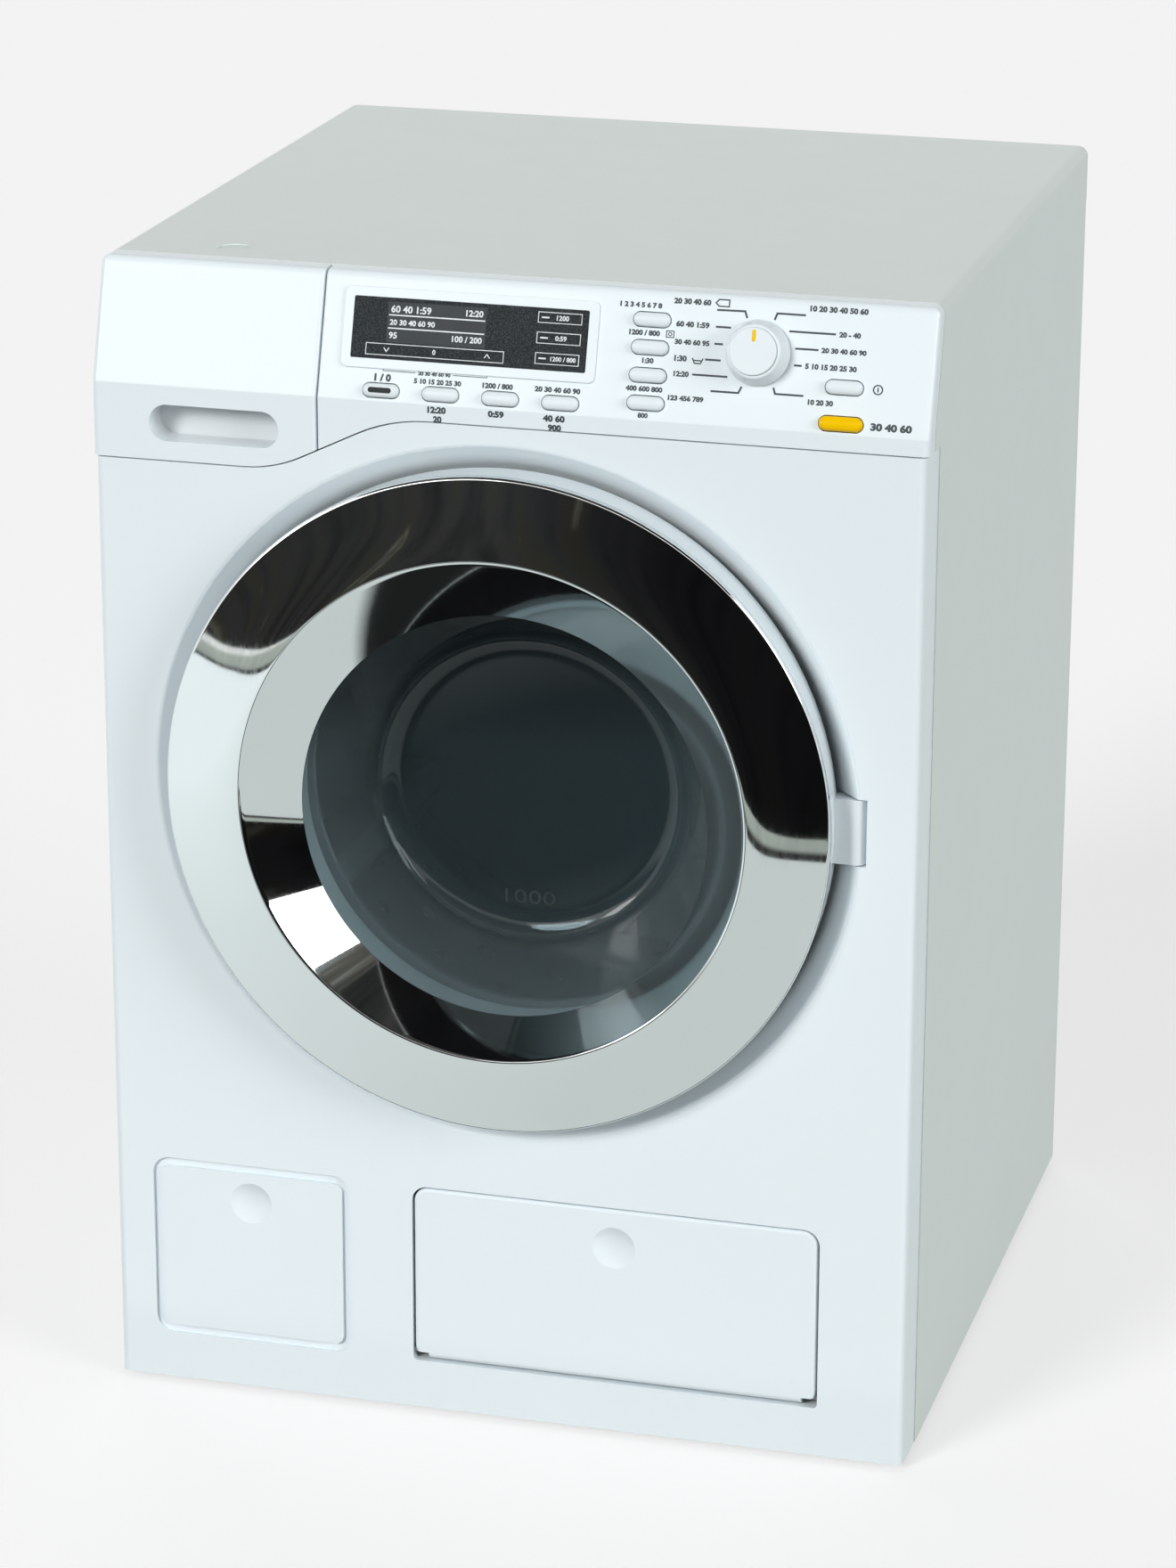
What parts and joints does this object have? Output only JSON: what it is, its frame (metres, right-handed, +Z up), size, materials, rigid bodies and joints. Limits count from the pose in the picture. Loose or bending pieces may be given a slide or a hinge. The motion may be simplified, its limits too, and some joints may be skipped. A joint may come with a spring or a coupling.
{
  "type": "toy washing machine",
  "caption": "Toy front-loading washing machine with a round hinged door, turning drum, sliding soap drawer, tip-out flap, program knob and sprung keys.",
  "frame": {"origin": "on the floor under the middle of the machine's box", "axes": "+Z up, -Y out of the front with the door, +X to the viewer's right"},
  "size_m": [0.185, 0.194, 0.2625],
  "materials": {
    "front_white": "glossy moulded plastic",
    "case_white": "satin moulded plastic",
    "door_white": "glossy moulded plastic",
    "bright_plating": "mirror-bright plating on moulded plastic",
    "tinted_window": "clear dark-tinted plastic",
    "rubber": "matte",
    "silicone": "matte",
    "steel": "bright steel",
    "tub_plastic": "matte moulded plastic",
    "drum_grey": "satin grey moulded plastic",
    "shaft_steel": "turned steel",
    "gear_plastic": "natural moulded plastic",
    "motor_can": "drawn steel",
    "circuit_board": "laminate",
    "display_black": "dark printed plate",
    "cell_jacket": null,
    "key_grey": "glossy moulded plastic",
    "signal_yellow": "glossy yellow plastic",
    "knob_white": "glossy moulded plastic"
  },
  "bodies": {
    "case": {"cabinet": "case_white", "back_panel": "case_white", "top_cover": "case_white", "front_panel": "front_white", "control_fascia": "front_white", "feet": "rubber", "case_screws": "steel", "hinge_pin": "steel", "door_seal": "silicone", "wash_tub": "tub_plastic", "tub_screws": "steel", "drum_bush": "gear_plastic", "idler_axle": "steel", "gear_plate": "gear_plastic", "drive_motor": "motor_can", "keypad_membrane": "silicone", "control_board": "circuit_board", "board_screws": "steel", "display_window": "display_black", "click_spring": "steel", "drawer_housing": "tub_plastic", "flap_pin": "steel", "dosing_bin": "tub_plastic", "battery_box": "tub_plastic", "batteries": "cell_jacket", "battery_contacts": "steel", "battery_cover": "case_white", "battery_screw": "steel", "speaker": "display_black"},
    "door": {"door_frame": "door_white", "door_chrome_ring": "bright_plating", "door_bowl": "tinted_window", "door_screws": "steel", "latch_hook": "door_white"},
    "drawer": {"drawer_front": "front_white", "drawer_tray": "tub_plastic"},
    "flap": {"dosing_flap": "front_white"},
    "knob": {"program_knob": "knob_white", "knob_cap": "knob_white", "knob_pointer": "signal_yellow", "click_wheel": "gear_plastic"},
    "drum": {"drum": "drum_grey", "drum_lifters": "drum_grey", "drum_shaft": "shaft_steel", "drum_gear": "gear_plastic"},
    "idler": {"idler_gear": "gear_plastic"},
    "rotor": {"motor_shaft": "steel", "motor_pinion": "gear_plastic"},
    "latch": {"latch_slide": "gear_plastic"},
    "start_key": {"start_key": "key_grey"},
    "fill_key": {"fill_key": "key_grey"},
    "wash_key": {"wash_key": "key_grey"},
    "drain_key": {"drain_key": "key_grey"},
    "spin_key": {"spin_key": "key_grey"},
    "option_key_3": {"option_key_3": "key_grey"},
    "option_key_2": {"option_key_2": "key_grey"},
    "option_key_1": {"option_key_1": "key_grey"},
    "power_key": {"power_key": "key_grey"},
    "door_key": {"door_key": "signal_yellow"}
  },
  "joints": [
    {"name": "door_hinge", "type": "hinge", "parent": "case", "child": "door", "pos_m": [0.078, -0.0835, 0.149], "axis": [0, 0, 1], "range_deg": [0, 92]},
    {"name": "drawer_slide", "type": "slide", "parent": "case", "child": "drawer", "axis": [0, -1, 0], "range_m": [0, 0.06]},
    {"name": "flap_hinge", "type": "hinge", "parent": "case", "child": "flap", "pos_m": [0.0254, -0.0844, 0.0151], "axis": [1, 0, 0], "range_deg": [0, 80]},
    {"name": "knob_turn", "type": "hinge", "parent": "case", "child": "knob", "pos_m": [0.0545, -0.08129, 0.25133], "axis": [0, 0.9542, -0.299], "continuous": true},
    {"name": "drum_spin", "type": "hinge", "parent": "case", "child": "drum", "pos_m": [0, 0, 0.1449], "axis": [0, 1, 0], "continuous": true},
    {"name": "idler_spin", "type": "hinge", "parent": "case", "child": "idler", "pos_m": [0, 0, 0.1161], "axis": [0, 1, 0], "continuous": true},
    {"name": "motor_spin", "type": "hinge", "parent": "case", "child": "rotor", "pos_m": [0.02, 0, 0.1161], "axis": [0, 1, 0], "continuous": true},
    {"name": "latch_shift", "type": "slide", "parent": "case", "child": "latch", "axis": [-1, 0, 0], "range_m": [0, 0.001]},
    {"name": "start_key_press", "type": "slide", "parent": "case", "child": "start_key", "axis": [0, 0.9542, -0.299], "range_m": [0, 0.001], "stiffness_N_per_m": 100},
    {"name": "fill_key_press", "type": "slide", "parent": "case", "child": "fill_key", "axis": [0, 0.9542, -0.299], "range_m": [0, 0.001], "stiffness_N_per_m": 100},
    {"name": "wash_key_press", "type": "slide", "parent": "case", "child": "wash_key", "axis": [0, 0.9542, -0.299], "range_m": [0, 0.001], "stiffness_N_per_m": 100},
    {"name": "drain_key_press", "type": "slide", "parent": "case", "child": "drain_key", "axis": [0, 0.9542, -0.299], "range_m": [0, 0.001], "stiffness_N_per_m": 100},
    {"name": "spin_key_press", "type": "slide", "parent": "case", "child": "spin_key", "axis": [0, 0.9542, -0.299], "range_m": [0, 0.001], "stiffness_N_per_m": 100},
    {"name": "option_key_3_press", "type": "slide", "parent": "case", "child": "option_key_3", "axis": [0, 0.9542, -0.299], "range_m": [0, 0.001], "stiffness_N_per_m": 100},
    {"name": "option_key_2_press", "type": "slide", "parent": "case", "child": "option_key_2", "axis": [0, 0.9542, -0.299], "range_m": [0, 0.001], "stiffness_N_per_m": 100},
    {"name": "option_key_1_press", "type": "slide", "parent": "case", "child": "option_key_1", "axis": [0, 0.9542, -0.299], "range_m": [0, 0.001], "stiffness_N_per_m": 100},
    {"name": "power_key_press", "type": "slide", "parent": "case", "child": "power_key", "axis": [0, 0.9542, -0.299], "range_m": [0, 0.001], "stiffness_N_per_m": 100},
    {"name": "door_key_press", "type": "slide", "parent": "case", "child": "door_key", "axis": [0, 0.9542, -0.299], "range_m": [0, 0.001], "stiffness_N_per_m": 100}
  ],
  "couplings": [
    {"joint": "idler_spin", "follows": "drum_spin", "ratio": -5},
    {"joint": "motor_spin", "follows": "drum_spin", "ratio": 20},
    {"joint": "latch_shift", "follows": "door_key_press", "ratio": 1}
  ]
}
